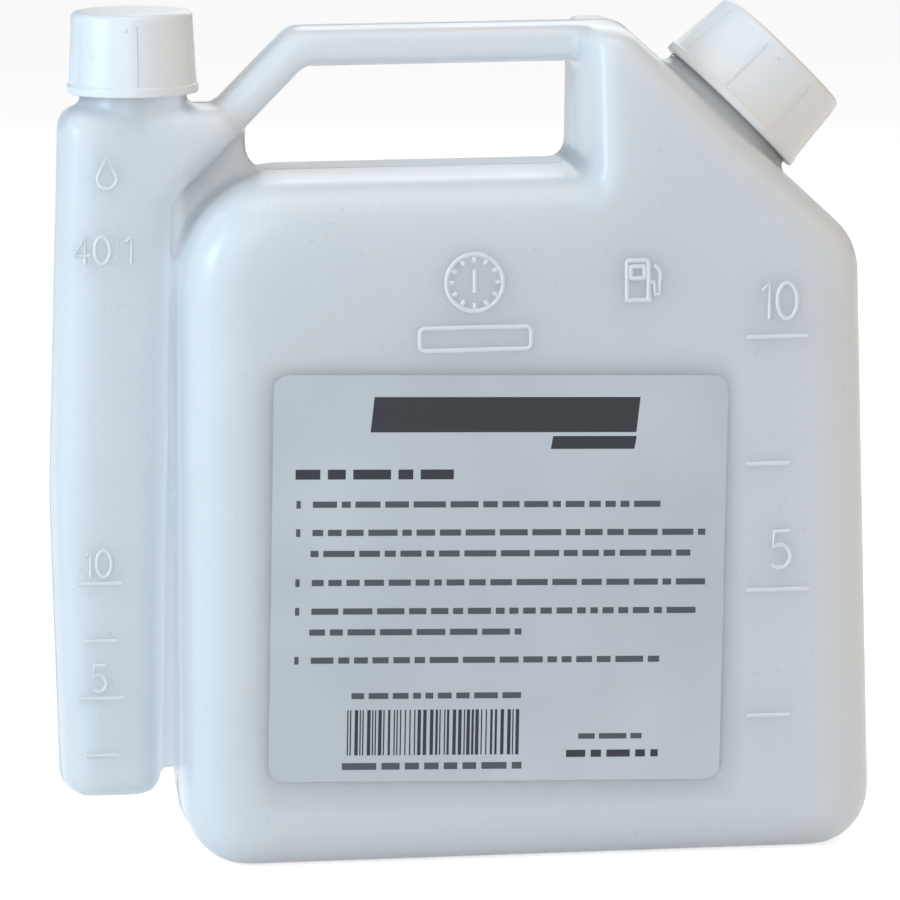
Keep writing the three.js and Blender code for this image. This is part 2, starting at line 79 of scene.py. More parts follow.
LOG = logging.getLogger("mixing_bottle")

Colour = tuple[float, float, float]
Point = tuple[float, float]
Socket = bpy.types.NodeSocket

BLACK: Colour = (0, 0, 0)
WHITE: Colour = (1, 1, 1)

# Places that several pieces share
PARTING_PLANE = 0.25 * MM
CHAMBER_SPLIT = -66 * MM
MARK_RELIEF = 0.5 * MM
OIL_SETBACK = 16 * MM
PRINT_RISE = 0.01 * MM

# How close vertices lie that are one and the same
WELD = 0.001 * MM


# Working at the bench: selection and edit mode


def deselect() -> None:
    """Leave edit mode and select nothing."""
    if bpy.context.mode != "OBJECT":
        bpy.ops.object.mode_set(mode="OBJECT")
    bpy.ops.object.select_all(action="DESELECT")


def activate(piece: bpy.types.Object) -> bpy.types.Object:
    """Make a piece the only selected one and the active one."""
    deselect()
    piece.select_set(True)
    bpy.context.view_layer.objects.active = piece
    return piece


class Part(Enum):
    """What a selection in a mesh is made of."""

    VERTICES = (True, False, False)
    EDGES = (False, True, False)
    FACES = (False, False, True)


@contextmanager
def editing(piece: bpy.types.Object, part: Part = Part.VERTICES) -> Iterator[None]:
    """Edit a piece's mesh with all of it selected.

    Args:
        piece: The mesh object to edit.
        part: The kind of selection to work with.
    """
    activate(piece)
    bpy.context.tool_settings.mesh_select_mode = part.value
    bpy.ops.object.mode_set(mode="EDIT")
    bpy.ops.mesh.select_all(action="SELECT")
    yield
    bpy.ops.object.mode_set(mode="OBJECT")


def pick_vertices(piece: bpy.types.Object, test: Callable[[Vector], bool]) -> int:
    """Select the vertices at places that pass a test, for the next edit.

    Args:
        piece: The mesh object.
        test: Says of a vertex's place whether it is selected.

    Returns:
        How many vertices are selected.
    """
    activate(piece)
    bpy.context.tool_settings.mesh_select_mode = Part.VERTICES.value
    mesh = piece.data
    for element in (*mesh.polygons, *mesh.edges):
        element.select = False
    count = 0
    for vertex in mesh.vertices:
        vertex.select = test(vertex.co)
        count += vertex.select
    return count


def pick_faces(piece: bpy.types.Object, test: Callable[[Vector, Vector], bool]) -> int:
    """Select the faces whose centre and normal pass a test, for the next edit.

    Args:
        piece: The mesh object.
        test: Says of a face's centre and normal whether it is selected.

    Returns:
        How many faces are selected.
    """
    activate(piece)
    bpy.context.tool_settings.mesh_select_mode = Part.FACES.value
    mesh = piece.data
    for element in (*mesh.vertices, *mesh.edges):
        element.select = False
    count = 0
    for face in mesh.polygons:
        face.select = test(face.center, face.normal)
        count += face.select
    return count


@contextmanager
def editing_picked() -> Iterator[None]:
    """Edit the active piece's mesh with the selection that was picked in code."""
    bpy.ops.object.mode_set(mode="EDIT")
    yield
    bpy.ops.object.mode_set(mode="OBJECT")


def named(name: str) -> bpy.types.Object:
    """Name the object that an operator just added, and its mesh."""
    piece = bpy.context.active_object
    piece.name = name
    piece.data.name = name
    return piece


def settle(piece: bpy.types.Object, place: Matrix | None = None) -> bpy.types.Object:
    """Put a piece where it belongs and move that place into its mesh.

    Args:
        piece: The object to settle.
        place: Where its own frame goes, or None where it stands already.

    Returns:
        The same object, standing at the origin.
    """
    if place is not None:
        piece.matrix_world = place @ piece.matrix_world
    activate(piece)
    bpy.ops.object.transform_apply(location=True, rotation=True, scale=True)
    return piece


def joined(name: str, pieces: Iterable[bpy.types.Object]) -> bpy.types.Object:
    """Join several objects into one named piece."""
    members = list(pieces)
    activate(members[0])
    for member in members:
        member.select_set(True)
    if len(members) > 1:
        bpy.ops.object.join()
    return named(name)


def finished_by(piece: bpy.types.Object, kind: str, **settings: object) -> None:
    """Add one modifier to a piece and apply it.

    Args:
        piece: The mesh object.
        kind: The modifier's type, as Blender names it.
        **settings: Values for the modifier's own properties.
    """
    activate(piece)
    modifier = piece.modifiers.new(kind.title(), kind)
    for key, value in settings.items():
        setattr(modifier, key, value)
    bpy.ops.object.modifier_apply(modifier=modifier.name)


def smooth(piece: bpy.types.Object, angle: float = 35.0) -> None:
    """Shade a piece smooth where its faces meet at less than an angle in degrees."""
    activate(piece)
    bpy.ops.object.shade_smooth_by_angle(angle=math.radians(angle))


def ride(piece: bpy.types.Object, body: str, finish: Finish) -> None:
    """Dress a new piece and fasten it to a body of the frame."""
    piece.data.materials.clear()
    piece.data.materials.append(finish.material())
    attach(piece, body)


def turned(name: str, profile: list[Point], segments: int) -> bpy.types.Object:
    """Turn a closed body about Z by extruding a ring from height to height.

    Args:
        name: The new piece's name.
        profile: Radius and height of each ring, from the first disc to the last.
        segments: Corners of each ring.

    Returns:
        The new piece, closed at both ends.
    """
    deselect()
    radius, height = profile[0]
    bpy.ops.mesh.primitive_circle_add(
        vertices=segments, radius=radius, location=(0, 0, height), fill_type="NGON"
    )
    piece = settle(named(name))
    with editing(piece, Part.EDGES):
        for next_radius, next_height in profile[1:]:
            move = {"value": (0, 0, next_height - height)}
            bpy.ops.mesh.extrude_edges_move(TRANSFORM_OT_translate=move)
            share = next_radius / radius
            bpy.ops.transform.resize(value=(share, share, 1), center_override=(0, 0, next_height))
            radius, height = next_radius, next_height
        bpy.ops.mesh.edge_face_add()
        bpy.ops.mesh.select_all(action="SELECT")
        bpy.ops.mesh.normals_make_consistent(inside=False)
    return piece


def arc(centre: Point, radius: float, start: float, end: float, steps: int) -> list[Point]:
    """Points along an arc, from one angle in degrees to another.

    Args:
        centre: The arc's centre.
        radius: Its radius.
        start: The first angle.
        end: The last angle.
        steps: How many chords it has.

    Returns:
        The points, both ends included.
    """
    angles = (math.radians(start + (end - start) * step / steps) for step in range(steps + 1))
    return [(centre[0] + radius * math.cos(a), centre[1] + radius * math.sin(a)) for a in angles]


def traced(name: str, path: list[Vector], radius: float) -> bpy.types.Object:
    """Draw a round bead along a path, from a point that is pulled along it.

    Args:
        name: The new piece's name.
        path: The bead's middle line. It closes if it ends where it starts.
        radius: The bead's radius.

    Returns:
        The bead as a mesh.
    """
    deselect()
    bpy.ops.mesh.primitive_plane_add(size=radius, location=path[0])
    piece = settle(named(name))
    with editing(piece):
        bpy.ops.mesh.merge(type="CENTER")
        for here, there in zip(path, path[1:]):
            bpy.ops.mesh.extrude_region_move(TRANSFORM_OT_translate={"value": there - here})
        bpy.ops.mesh.select_all(action="SELECT")
        bpy.ops.mesh.remove_doubles(threshold=radius / 20)
    return beaded(piece, radius)


def beaded(piece: bpy.types.Object, radius: float) -> bpy.types.Object:
    """Give a mesh of bare edges a round section, and return it as a mesh."""
    activate(piece)
    bpy.ops.object.convert(target="CURVE")
    piece.data.bevel_depth = radius
    piece.data.bevel_resolution = 2
    piece.data.use_fill_caps = True
    bpy.ops.object.convert(target="MESH")
    smooth(piece, 60)
    return piece


# Finishes


@dataclass
class Sheet:
    """A node sheet: adds nodes and links to one material."""

    name: str
    material: bpy.types.Material = field(init=False)

    def __post_init__(self) -> None:
        """Start an empty node tree with its output and one surface shader."""
        self.material = bpy.data.materials.new(self.name)
        self.material.use_nodes = True
        self.surface = self.material.node_tree.nodes["Principled BSDF"]

    def add(self, kind: str, **values: object) -> bpy.types.Node:
        """Add a node, with its properties set by name."""
        node = self.material.node_tree.nodes.new(kind)
        for key, value in values.items():
            setattr(node, key, value)
        return node

    def link(self, source: Socket, target: Socket) -> None:
        """Join an output to an input."""
        self.material.node_tree.links.new(source, target)

    def place(self, stretch: tuple[float, float, float] = (1, 1, 1)) -> Socket:
        """Object coordinates, stretched along each axis."""
        where = self.add("ShaderNodeTexCoord")
        mapping = self.add("ShaderNodeMapping")
        mapping.inputs["Scale"].default_value = stretch
        self.link(where.outputs["Object"], mapping.inputs["Vector"])
        return mapping.outputs["Vector"]

    def noise(
        self, scale: float, detail: float = 2.0, stretch: tuple[float, float, float] = (1, 1, 1)
    ) -> Socket:
        """A noise value between 0 and 1, with so many lumps a metre."""
        node = self.add("ShaderNodeTexNoise")
        node.inputs["Scale"].default_value = scale
        node.inputs["Detail"].default_value = detail
        self.link(self.place(stretch), node.inputs["Vector"])
        return node.outputs["Fac"]

    def ramp(self, value: Socket, stops: list[tuple[float, Colour]]) -> Socket:
        """A colour ramp with stops at values between 0 and 1."""
        node = self.add("ShaderNodeValToRGB")
        ramp = node.color_ramp
        ramp.elements[0].position, ramp.elements[1].position = stops[0][0], stops[-1][0]
        ramp.elements[0].color, ramp.elements[1].color = (*stops[0][1], 1), (*stops[-1][1], 1)
        for position, colour in stops[1:-1]:
            ramp.elements.new(position).color = (*colour, 1)
        self.link(value, node.inputs["Fac"])
        return node.outputs["Color"]

    def blend(self, share: Socket, first: Socket | Colour, second: Socket | Colour) -> Socket:
        """Mix two colours, each a socket or a plain colour, by a share."""
        node = self.add("ShaderNodeMix", data_type="RGBA")
        inlets = [socket for socket in node.inputs if socket.type == "RGBA"]
        self.link(share, node.inputs["Factor"])
        for socket, value in zip(inlets, (first, second)):
            if isinstance(value, tuple):
                socket.default_value = (*value, 1)
            else:
                self.link(value, socket)
        return next(socket for socket in node.outputs if socket.type == "RGBA")

    def maths(self, operation: str, first: Socket | float, second: Socket | float) -> Socket:
        """One sum of two values, each a socket or a number."""
        node = self.add("ShaderNodeMath", operation=operation)
        for socket, value in zip(node.inputs, (first, second)):
            if isinstance(value, (int, float)):
                socket.default_value = value
            else:
                self.link(value, socket)
        return node.outputs["Value"]

    def bump(self, heights: list[tuple[Socket, float]]) -> None:
        """Stack bumps, each a height socket and its size in metres."""
        normal = None
        for height, size in heights:
            node = self.add("ShaderNodeBump")
            node.inputs["Distance"].default_value = size
            self.link(height, node.inputs["Height"])
            if normal is not None:
                self.link(normal, node.inputs["Normal"])
            normal = node.outputs["Normal"]
        self.link(normal, self.surface.inputs["Normal"])

    def set(self, values: dict[str, object]) -> None:
        """Set the surface shader's own sockets by name."""
        for key, value in values.items():
            self.surface.inputs[key].default_value = value


@dataclass(frozen=True)
class Finish:
    """A named surface finish, made once and shared."""

    name: str
    colour: Colour
    shade: Colour
    roughness: float

    @cache
    def material(self) -> bpy.types.Material:
        """The finish's material, built on its first use."""
        return self.build(Sheet(self.name))

    def build(self, sheet: Sheet) -> bpy.types.Material:
        """Fill in the node sheet. Each finish has its own way."""
        raise NotImplementedError


@dataclass(frozen=True)
class Stretch:
    """A stretch along one axis that fades out at both ends, in metres."""

    axis: str
    centre: float
    reach: float
    fade: float


# Where the painted glow lies: the pinched web between the chambers and the walls beside it, which
# lie in shade.
PAINTED_GLOW_BANDS = (
    Stretch("X", -68.2 * MM, 3.2 * MM, 3.0 * MM),
    Stretch("Y", PARTING_PLANE, 8.0 * MM, 7.0 * MM),
)


@dataclass(frozen=True)
class MilkyPlastic(Finish):
    """Natural polyethylene: milky, satin, a little uneven and finely scuffed, with a painted glow
    on the pinched web where it lies in shade, if one is set.

    Values that end in _lumps say how many lumps of noise lie in a metre.
    """

    milk: float = 0.85
    milk_depth: float = 26 * MM
    refraction: float = 1.53
    painted_web_glow: float = 0.0
    painted_glow_tint: Colour = (0.80, 0.90, 1.0)
    cloud_lumps: float = 28
    speck_lumps: float = 620
    speck_share: float = 0.22
    speck_tone: float = 0.72
    rub_lumps: float = 40
    rub_share: float = 0.06
    scratch_lumps: float = 240
    scratch_stretch: tuple[float, float, float] = (0.12, 1.0, 1.0)
    scratch_share: float = 0.05
    scratch_depth: float = 0.002 * MM
    wave_lumps: float = 38
    waviness: float = 0.12 * MM
    grain_lumps: float = 1500
    grain: float = 0.012 * MM

    def build(self, sheet: Sheet) -> bpy.types.Material:
        """Cloudy colour with specks, rubbed patches, scratches and blown unevenness, and a painted
        glow on the pinched web if one is set.
        """
        sheet.link(self.clouded(sheet), sheet.surface.inputs["Base Color"])
        rub = sheet.ramp(sheet.noise(self.rub_lumps), [(0.30, BLACK), (0.75, WHITE)])
        scratch = sheet.ramp(
            sheet.noise(self.scratch_lumps, 1, self.scratch_stretch),
            [(0.68, BLACK), (0.72, WHITE), (0.76, BLACK)],
        )
        rough = self.roughness
        for mark, share in ((rub, self.rub_share), (scratch, self.scratch_share)):
            rough = sheet.maths("ADD", sheet.maths("MULTIPLY", mark, share), rough)
        sheet.link(rough, sheet.surface.inputs["Roughness"])
        sheet.bump(
            [
                (sheet.noise(self.wave_lumps), self.waviness),
                (sheet.noise(self.grain_lumps), self.grain),
                (scratch, self.scratch_depth),
            ]
        )
        # A painted glow in the shaded trench between the chambers, standing in for light through
        # the thin web.
        if self.painted_web_glow:
            self.paint_web_glow(sheet)
        sheet.set(
            {
                "Subsurface Weight": self.milk,
                "Subsurface Scale": self.milk_depth,
                "Subsurface Radius": (1.0, 1.0, 1.0),
                "IOR": self.refraction,
            }
        )
        return sheet.material

    def clouded(self, sheet: Sheet) -> Socket:
        """The two tones in soft clouds, with a few darker specks."""
        tone = sheet.blend(sheet.noise(self.cloud_lumps, 3), self.colour, self.shade)
        speck = sheet.ramp(
            sheet.noise(self.speck_lumps, 1), [(0.0, WHITE), (0.25, WHITE), (0.28, BLACK)]
        )
        dark = tuple(self.speck_tone * channel for channel in self.shade)
        return sheet.blend(sheet.maths("MULTIPLY", speck, self.speck_share), tone, dark)

    def paint_web_glow(self, sheet: Sheet) -> None:
        """Paint a glow on the pinched web and the walls beside it, which lie in shade: it stands
        in for light that shines through the thin plastic.
        """
        where = sheet.add("ShaderNodeSeparateXYZ")
        sheet.link(sheet.place(), where.inputs["Vector"])
        glow = self.painted_web_glow
        for part in PAINTED_GLOW_BANDS:
            offset = sheet.maths("SUBTRACT", where.outputs[part.axis], part.centre)
            band = sheet.add("ShaderNodeMapRange", interpolation_type="SMOOTHSTEP")
            band.inputs["From Min"].default_value = part.reach
            band.inputs["From Max"].default_value = part.reach + part.fade
            band.inputs["To Min"].default_value = 1.0
            band.inputs["To Max"].default_value = 0.0
            sheet.link(sheet.maths("ABSOLUTE", offset, 0.0), band.inputs["Value"])
            glow = sheet.maths("MULTIPLY", band.outputs["Result"], glow)
        # The painted glow goes into emission, with a pale blue tint.
        sheet.link(glow, sheet.surface.inputs["Emission Strength"])
        sheet.set({"Emission Color": (*self.painted_glow_tint, 1)})


@dataclass(frozen=True)
class FilmLabel(Finish):
    """A clear-coated film with a soft sheen and faint bubbles under it."""

    cloud_lumps: float = 22
    smear_lumps: float = 90
    smear_share: float = 0.12
    wave_lumps: float = 30
    waviness: float = 0.10 * MM
    grain_lumps: float = 700
    grain: float = 0.006 * MM
    coat: float = 0.25

    def build(self, sheet: Sheet) -> bpy.types.Material:
        """Even grey film, a little lighter in soft patches."""
        cloud = sheet.ramp(sheet.noise(self.cloud_lumps), [(0.35, BLACK), (0.7, WHITE)])
        tone = sheet.blend(cloud, self.shade, self.colour)
        sheet.link(tone, sheet.surface.inputs["Base Color"])
        smear = sheet.maths("MULTIPLY", sheet.noise(self.smear_lumps, 3), self.smear_share)
        sheet.link(sheet.maths("ADD", smear, self.roughness), sheet.surface.inputs["Roughness"])
        sheet.bump(
            [
                (sheet.noise(self.wave_lumps), self.waviness),
                (sheet.noise(self.grain_lumps, 1), self.grain),
            ]
        )
        sheet.set({"Coat Weight": self.coat, "Coat Roughness": self.coat})
        return sheet.material


@dataclass(frozen=True)
class PrintedInk(Finish):
    """Dark ink on film, slightly uneven."""

    grain_lumps: float = 2400
    grain: float = 0.002 * MM

    def build(self, sheet: Sheet) -> bpy.types.Material:
        """Nearly black, with a fine grain."""
        grain = sheet.noise(self.grain_lumps)
        sheet.link(
            sheet.blend(grain, self.shade, self.colour), sheet.surface.inputs["Base Color"]
        )
        sheet.set({"Roughness": self.roughness})
        sheet.bump([(grain, self.grain)])
        return sheet.material


@dataclass(frozen=True)
class FoamDisc(Finish):
    """Closed-cell foam of a sealing disc."""

    cells_per_metre: float = 2200
    cell_depth: float = 0.05 * MM

    def build(self, sheet: Sheet) -> bpy.types.Material:
        """White, matt, with fine cells."""
        node = sheet.add("ShaderNodeTexVoronoi")
        node.inputs["Scale"].default_value = self.cells_per_metre
        sheet.link(sheet.place(), node.inputs["Vector"])
        cells = node.outputs["Distance"]
        sheet.link(
            sheet.blend(cells, self.colour, self.shade), sheet.surface.inputs["Base Color"]
        )
        sheet.set({"Roughness": self.roughness})
        sheet.bump([(cells, self.cell_depth)])
        return sheet.material


@dataclass(frozen=True)
class StudioPaper(Finish):
    """Matt white paper that looks white where no shadow falls on it."""

    glow: float = 0.66

    def build(self, sheet: Sheet) -> bpy.types.Material:
        """White paper that glows a little for what looks straight at it."""
        rays = sheet.add("ShaderNodeLightPath")
        seen = sheet.maths("MAXIMUM", rays.outputs["Is Camera Ray"], rays.outputs["Is Glossy Ray"])
        seen = sheet.maths("MAXIMUM", seen, rays.outputs["Is Transmission Ray"])
        glow = sheet.maths("MULTIPLY", seen, self.glow)
        sheet.link(glow, sheet.surface.inputs["Emission Strength"])
        sheet.set(
            {
                "Base Color": (*self.colour, 1),
                "Roughness": self.roughness,
                "Emission Color": (*self.shade, 1),
            }
        )
        return sheet.material


# The bottle's plastic carries a painted glow on the pinched web, in place of light shining through
# it.
BLOWN = MilkyPlastic(
    "blown_polyethylene", (0.70, 0.72, 0.735), (0.655, 0.68, 0.70), 0.285, painted_web_glow=0.20
)
# A lighter copy of the bottle's plastic for the raised strokes and the seam: the extra lightness
# is a painted highlight on their ridges.
RAISED_PAINTED_HIGHLIGHT = MilkyPlastic(
    "raised_polyethylene_painted_highlight", (0.77, 0.79, 0.805), (0.73, 0.755, 0.77), 0.285, milk=0.0
)
MOULDED = MilkyPlastic(
    "moulded_polyethylene",
    (0.83, 0.835, 0.83),
    (0.79, 0.80, 0.80),
    0.285,
    milk=0.12,
    milk_depth=2 * MM,
    waviness=0.03 * MM,
)
FILM = FilmLabel("coated_film", (0.58, 0.61, 0.64), (0.50, 0.53, 0.56), 0.285)
INK = PrintedInk("print_ink", (0.022, 0.026, 0.034), (0.012, 0.015, 0.021), 0.45)
GREY_INK = PrintedInk("print_ink_fine", (0.085, 0.095, 0.11), (0.05, 0.057, 0.07), 0.5)
FOAM = FoamDisc("closed_cell_foam", (0.86, 0.86, 0.83), (0.70, 0.70, 0.68), 0.85)
PAPER = StudioPaper("studio_paper", (0.84, 0.84, 0.84), (1, 1, 1), 0.9)


# Where things are on the bottle


@dataclass(frozen=True)
class Neck:
    """One screw finish: its axis, its rim plane and its sizes."""

    name: str
    rim: Vector
    axis: Vector
    core_radius: float
    bore_radius: float
    lip: float
    pitch: float

    def frame(self) -> Matrix:
        """The place of the neck's own frame, with Z along its axis from the rim plane."""
        turn = Vector((0, 0, 1)).rotation_difference(self.axis).to_matrix().to_4x4()
        return Matrix.Translation(self.rim) @ turn

    def along(self, point: Vector) -> float:
        """How far a point is along the axis from the rim plane."""
        return (point - self.rim).dot(self.axis)


def necks(frame: dict) -> dict[str, Neck]:
    """The two necks, placed by the joints that turn their caps."""
    joints = {joint["name"]: joint for joint in frame["joints"]}
    sizes = {
        "petrol": {
            "core_radius": 16.2 * MM, "bore_radius": 14.3 * MM, "lip": 15.2 * MM, "pitch": 4.2 * MM
        },
        "oil": {
            "core_radius": 12.0 * MM, "bore_radius": 10.2 * MM, "lip": 15.6 * MM, "pitch": 3.2 * MM
        },
    }
    found = {}
    for name, size in sizes.items():
        joint = joints[f"{name}_cap_turn"]
        axis = Vector(joint["axis"]).normalized()
        found[name] = Neck(name, Vector(joint["pos_m"]), axis, **size)
    return found


@dataclass(frozen=True)
class Fronts:
    """Where the flat front faces of the tank and of the oil chamber lie along Y."""

    tank: float
    oil: float


def fronts() -> Fronts:
    """The front faces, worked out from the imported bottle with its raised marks."""
    low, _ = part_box("bottle_body")
    tank = low[1] + MARK_RELIEF
    return Fronts(tank, tank + OIL_SETBACK)


@dataclass
class BottleSkin:
    """The blown bottle: its outer skin in soft, fine facets, with both necks open."""

    necks: dict[str, Neck]
    fronts: Fronts
    voxel: float = 1.15 * MM
    soften: int = 5
    seam_radius: float = 0.22 * MM
    seam_weld: float = 0.05 * MM
    bore_depth: float = 14 * MM
    bore_margin: float = 4 * MM
    bore_corners: int = 96
    lip_reach: float = 0.1 * MM
    foot_reach: float = 0.05 * MM
    mark_reach: float = 0.01 * MM

    def build(self, node: bpy.types.Object) -> bpy.types.Object:
        """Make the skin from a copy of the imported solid.

        Args:
            node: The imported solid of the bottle.

        Returns:
            The skin, which replaces the solid.
        """
        outer = self.outer_shell(node)
        self.flatten_marks(outer)
        seam = self.seam(outer)
        finished_by(outer, "REMESH", mode="VOXEL", voxel_size=self.voxel, adaptivity=0.0)
        finished_by(outer, "SMOOTH", factor=0.5, iterations=self.soften)
        for neck in self.necks.values():
            self.open_bore(outer, neck)
        smooth(outer, 40)
        ride(outer, "bottle", BLOWN)
        # The seam is dressed lighter than the skin, a painted highlight along its bead.
        ride(seam, "bottle", RAISED_PAINTED_HIGHLIGHT)
        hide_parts("bottle_body")
        return outer

    def outer_shell(self, node: bpy.types.Object) -> bpy.types.Object:
        """Copy the solid, part it at the lips and keep what is outside, closed again."""
        activate(node)
        bpy.ops.object.duplicate()
        shell = named("bottle_skin")
        shell.parent = None
        for key in [key for key in shell.keys() if key.startswith("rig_")]:
            del shell[key]
        with editing(shell):
            bpy.ops.mesh.remove_doubles(threshold=WELD)
        pick_faces(shell, self.on_a_lip)
        with editing_picked():
            bpy.ops.mesh.delete(type="FACE")
        pick_vertices(shell, lambda place: place.z < self.foot_reach)
        with editing_picked():
            bpy.ops.mesh.select_linked()
            bpy.ops.mesh.select_all(action="INVERT")
            bpy.ops.mesh.delete(type="VERT")
            bpy.ops.mesh.select_all(action="SELECT")
            bpy.ops.mesh.fill_holes(sides=0)
        return shell

    def on_a_lip(self, centre: Vector, normal: Vector) -> bool:
        """Whether a face lies flat on either neck's lip."""
        flat = 0.98
        return any(
            abs(neck.along(centre) - neck.lip) < self.lip_reach
            and abs(normal.dot(neck.axis)) > flat
            for neck in self.necks.values()
        )

    def flatten_marks(self, shell: bpy.types.Object) -> None:
        """Press the level marks back into the two front faces: they are traced anew later."""
        tank, oil = self.fronts.tank, self.fronts.oil
        for face, test in (
            (tank, lambda p: p.x > CHAMBER_SPLIT and p.y < tank - self.mark_reach),
            (oil, lambda p: p.x < CHAMBER_SPLIT and p.y < oil - self.mark_reach),
        ):
            if pick_vertices(shell, test):
                with editing_picked():
                    bpy.ops.transform.resize(value=(1, 0, 1), center_override=(0, face, 0))

    def seam(self, shell: bpy.types.Object) -> bpy.types.Object:
        """Trace the fine line that the mould's halves leave all round, level with the foot."""
        activate(shell)
        bpy.ops.object.duplicate()
        line = named("parting_line")
        with editing(line, Part.EDGES):
            bpy.ops.mesh.bisect(plane_co=(0, PARTING_PLANE, 0), plane_no=(0, 1, 0))
            bpy.ops.mesh.select_all(action="INVERT")
            bpy.ops.mesh.delete(type="EDGE")
        with editing(line):
            bpy.ops.mesh.delete(type="ONLY_FACE")
            bpy.ops.mesh.remove_doubles(threshold=self.seam_weld)
        line = beaded(line, self.seam_radius)
        if pick_vertices(line, lambda place: place.z < 0):
            with editing_picked():
                bpy.ops.transform.resize(value=(1, 1, 0), center_override=(0, 0, 0))
        return line

    def open_bore(self, skin: bpy.types.Object, neck: Neck) -> None:
        """Drill one neck open from above its lip."""
        deselect()
        bottom, top = neck.lip - self.bore_depth, neck.lip + self.bore_margin
        bpy.ops.mesh.primitive_cylinder_add(
            vertices=self.bore_corners,
            radius=neck.bore_radius,
            depth=top - bottom,
            location=(0, 0, (top + bottom) / 2),
        )
        drill = settle(named("bore_drill"), neck.frame())
        finished_by(skin, "BOOLEAN", operation="DIFFERENCE", object=drill, solver="EXACT")
        bpy.data.objects.remove(drill)


@dataclass
class NeckThread:
    """The raised thread on a neck, hidden by its cap until that lifts."""

    neck: Neck
    turns: float = 2.2
    height: float = 0.75 * MM
    width: float = 1.5 * MM
    crest_share: float = 0.35
    clear_of_rim: float = 3.5 * MM
    sunk: float = 0.2 * MM
    steps_a_turn: int = 64

    def build(self) -> bpy.types.Object:
        """Screw a small wedge profile round the neck's core.

        Returns:
            The thread, riding on the bottle.
        """
        deselect()
        root = self.neck.core_radius - self.sunk
        middle = root + self.height / 2
        bpy.ops.mesh.primitive_plane_add(size=1)
        thread = named(f"{self.neck.name}_neck_thread")
        thread.scale = (self.height + self.sunk, self.width, 1)
        thread.rotation_euler = (math.pi / 2, 0, 0)
        thread.location = (middle, 0, self.clear_of_rim)
        settle(thread)
        pick_vertices(thread, lambda place: place.x > middle)
        with editing_picked():
            bpy.ops.transform.resize(
                value=(1, 1, self.crest_share), center_override=(root, 0, self.clear_of_rim)
            )
        steps = int(self.steps_a_turn * self.turns)
        finished_by(
            thread,
            "SCREW",
            angle=math.tau * self.turns,
            screw_offset=self.neck.pitch * self.turns,
            steps=steps,
            render_steps=steps,
            use_smooth_shade=True,
        )
        with editing(thread):
            bpy.ops.mesh.remove_doubles(threshold=WELD)
            bpy.ops.mesh.fill_holes(sides=0)
            bpy.ops.mesh.normals_make_consistent(inside=False)
        settle(thread, self.neck.frame())
        smooth(thread, 50)
        ride(thread, "bottle", BLOWN)
        return thread


